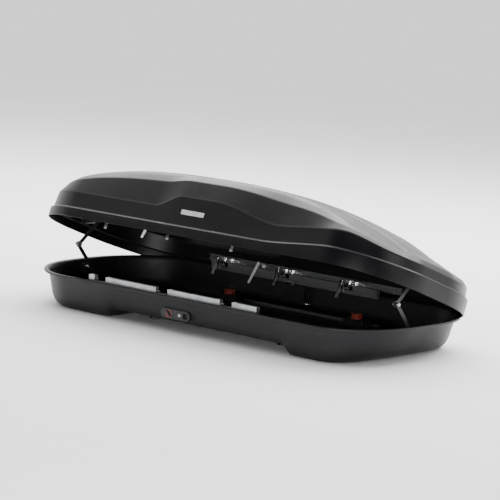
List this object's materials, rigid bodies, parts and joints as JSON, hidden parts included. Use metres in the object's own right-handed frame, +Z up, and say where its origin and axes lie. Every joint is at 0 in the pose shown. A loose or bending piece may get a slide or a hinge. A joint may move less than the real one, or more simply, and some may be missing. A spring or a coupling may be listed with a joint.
{
  "type": "roof cargo box",
  "caption": "Hard-shell roof cargo box with a moulded tray, a lid that opens from either long side, latch rails, folding lid lifters and roof bar clamps.",
  "frame": {"origin": "centre of the tray's flat underside, on the plane that rests over the roof bars", "axes": "+X to the nose of the box, +Y to the side that acts as the hinge, +Z up"},
  "size_m": [2.11, 0.9347, 0.6765],
  "materials": {
    "lid_plastic": "fine-grained textured black ABS",
    "tray_plastic": "textured charcoal ABS",
    "black_plastic": "moulded black polyamide",
    "red_plastic": "moulded red",
    "white_plastic": "moulded white",
    "badge_grey": "blank light grey plate",
    "aluminium": "extruded, clear anodised",
    "bright_steel": "bright plated steel",
    "zinc_steel": "zinc plated",
    "coated_steel": "grey coated steel",
    "black_steel": "black powder coat",
    "pad_rubber": "black rubber"
  },
  "bodies": {
    "tray": {"base_shell": "tray_plastic", "floor_rails": "aluminium", "base_rivets": "zinc_steel", "near_latch_rail": "aluminium", "far_latch_rail": "aluminium", "near_lock_bezel": "black_plastic", "far_lock_bezel": "black_plastic", "near_lock_case": "black_plastic", "far_lock_case": "black_plastic", "clamp_saddles": "black_plastic", "clamp_1_housing": "black_plastic", "clamp_2_housing": "black_plastic", "clamp_3_housing": "black_plastic", "clamp_4_housing": "black_plastic", "rear_lifter_base_bracket": "black_plastic", "front_lifter_base_bracket": "black_plastic"},
    "lid": {"lid_shell": "lid_plastic", "lid_rivets": "zinc_steel", "near_lid_stiffener": "aluminium", "far_lid_stiffener": "aluminium", "near_strikers": "bright_steel", "far_strikers": "bright_steel", "near_guide_tongue": "white_plastic", "far_guide_tongue": "white_plastic", "near_badge": "badge_grey", "far_badge": "badge_grey", "rear_lifter_lid_bracket": "black_plastic", "front_lifter_lid_bracket": "black_plastic"},
    "near_bar": {"near_latch_bar": "coated_steel"},
    "far_bar": {"far_latch_bar": "coated_steel"},
    "near_knob": {"near_lock_knob": "black_plastic", "near_knob_ring": "red_plastic"},
    "far_knob": {"far_lock_knob": "black_plastic", "far_knob_ring": "red_plastic"},
    "near_key": {"near_key_cylinder": "zinc_steel"},
    "far_key": {"far_key_cylinder": "zinc_steel"},
    "clamp_1_dial": {"clamp_1_knob": "red_plastic"},
    "clamp_2_dial": {"clamp_2_knob": "red_plastic"},
    "clamp_3_dial": {"clamp_3_knob": "red_plastic"},
    "clamp_4_dial": {"clamp_4_knob": "red_plastic"},
    "clamp_1_slider": {"clamp_1_jaw": "coated_steel", "clamp_1_pad": "pad_rubber"},
    "clamp_2_slider": {"clamp_2_jaw": "coated_steel", "clamp_2_pad": "pad_rubber"},
    "clamp_3_slider": {"clamp_3_jaw": "coated_steel", "clamp_3_pad": "pad_rubber"},
    "clamp_4_slider": {"clamp_4_jaw": "coated_steel", "clamp_4_pad": "pad_rubber"},
    "rear_lower": {"rear_lifter_lower_arm": "black_steel", "rear_lifter_elbow_pin": "zinc_steel", "rear_lifter_spring": "zinc_steel"},
    "front_lower": {"front_lifter_lower_arm": "black_steel", "front_lifter_elbow_pin": "zinc_steel", "front_lifter_spring": "zinc_steel"},
    "rear_upper": {"rear_lifter_upper_arm": "black_steel"},
    "front_upper": {"front_lifter_upper_arm": "black_steel"}
  },
  "joints": [
    {"name": "lid_hinge", "type": "hinge", "parent": "tray", "child": "lid", "pos_m": [0, 0.41, 0.128], "axis": [-1, 0, 0], "range_deg": [-20, 0], "stiffness_Nm_per_rad": 22, "springref_deg": 137.51},
    {"name": "rear_lower_arm_fold", "type": "hinge", "parent": "tray", "child": "rear_lower", "pos_m": [-0.938, 0, 0.075], "axis": [-1, 0, 0], "range_deg": [-42.5, 0]},
    {"name": "rear_upper_arm_fold", "type": "hinge", "parent": "lid", "child": "rear_upper", "pos_m": [-0.932, 0.02, 0.305], "axis": [1, 0, 0], "range_deg": [-39, 0]},
    {"name": "front_lower_arm_fold", "type": "hinge", "parent": "tray", "child": "front_lower", "pos_m": [0.968, 0, 0.075], "axis": [-1, 0, 0], "range_deg": [-42.5, 0]},
    {"name": "front_upper_arm_fold", "type": "hinge", "parent": "lid", "child": "front_upper", "pos_m": [0.974, 0.02, 0.305], "axis": [1, 0, 0], "range_deg": [-39, 0]},
    {"name": "near_knob_turn", "type": "hinge", "parent": "tray", "child": "near_knob", "pos_m": [-0.05, -0.4223, 0.041], "axis": [0, 1, 0], "range_deg": [0, 90]},
    {"name": "near_bar_slide", "type": "slide", "parent": "tray", "child": "near_bar", "axis": [1, 0, 0], "range_m": [0, 0.026]},
    {"name": "near_key_turn", "type": "hinge", "parent": "tray", "child": "near_key", "pos_m": [0.016, -0.4223, 0.041], "axis": [0, 1, 0], "range_deg": [0, 90]},
    {"name": "far_knob_turn", "type": "hinge", "parent": "tray", "child": "far_knob", "pos_m": [-0.05, 0.4223, 0.041], "axis": [0, 1, 0], "range_deg": [-90, 0]},
    {"name": "far_bar_slide", "type": "slide", "parent": "tray", "child": "far_bar", "axis": [1, 0, 0], "range_m": [-0.026, 0]},
    {"name": "far_key_turn", "type": "hinge", "parent": "tray", "child": "far_key", "pos_m": [0.016, 0.4223, 0.041], "axis": [0, 1, 0], "range_deg": [0, 90]},
    {"name": "clamp_1_dial_turn", "type": "hinge", "parent": "tray", "child": "clamp_1_dial", "pos_m": [-0.29, -0.25, 0.03], "axis": [0, 0, 1], "range_deg": [0, 240]},
    {"name": "clamp_1_jaw_slide", "type": "slide", "parent": "tray", "child": "clamp_1_slider", "axis": [1, 0, 0], "range_m": [0, 0.02]},
    {"name": "clamp_2_dial_turn", "type": "hinge", "parent": "tray", "child": "clamp_2_dial", "pos_m": [-0.29, 0.25, 0.03], "axis": [0, 0, 1], "range_deg": [0, 240]},
    {"name": "clamp_2_jaw_slide", "type": "slide", "parent": "tray", "child": "clamp_2_slider", "axis": [1, 0, 0], "range_m": [0, 0.02]},
    {"name": "clamp_3_dial_turn", "type": "hinge", "parent": "tray", "child": "clamp_3_dial", "pos_m": [0.47, -0.25, 0.03], "axis": [0, 0, 1], "range_deg": [0, 240]},
    {"name": "clamp_3_jaw_slide", "type": "slide", "parent": "tray", "child": "clamp_3_slider", "axis": [1, 0, 0], "range_m": [0, 0.02]},
    {"name": "clamp_4_dial_turn", "type": "hinge", "parent": "tray", "child": "clamp_4_dial", "pos_m": [0.47, 0.25, 0.03], "axis": [0, 0, 1], "range_deg": [0, 240]},
    {"name": "clamp_4_jaw_slide", "type": "slide", "parent": "tray", "child": "clamp_4_slider", "axis": [1, 0, 0], "range_m": [0, 0.02]}
  ],
  "couplings": [
    {"joint": "rear_lower_arm_fold", "follows": "lid_hinge", "ratio": 2.086},
    {"joint": "rear_upper_arm_fold", "follows": "lid_hinge", "ratio": 1.9116},
    {"joint": "front_lower_arm_fold", "follows": "lid_hinge", "ratio": 2.086},
    {"joint": "front_upper_arm_fold", "follows": "lid_hinge", "ratio": 1.9116},
    {"joint": "near_knob_turn", "follows": "near_bar_slide", "rad_per_m": 60.415},
    {"joint": "far_knob_turn", "follows": "far_bar_slide", "rad_per_m": 60.415},
    {"joint": "clamp_1_dial_turn", "follows": "clamp_1_jaw_slide", "rad_per_m": 209.43},
    {"joint": "clamp_2_dial_turn", "follows": "clamp_2_jaw_slide", "rad_per_m": 209.43},
    {"joint": "clamp_3_dial_turn", "follows": "clamp_3_jaw_slide", "rad_per_m": 209.43},
    {"joint": "clamp_4_dial_turn", "follows": "clamp_4_jaw_slide", "rad_per_m": 209.43}
  ]
}
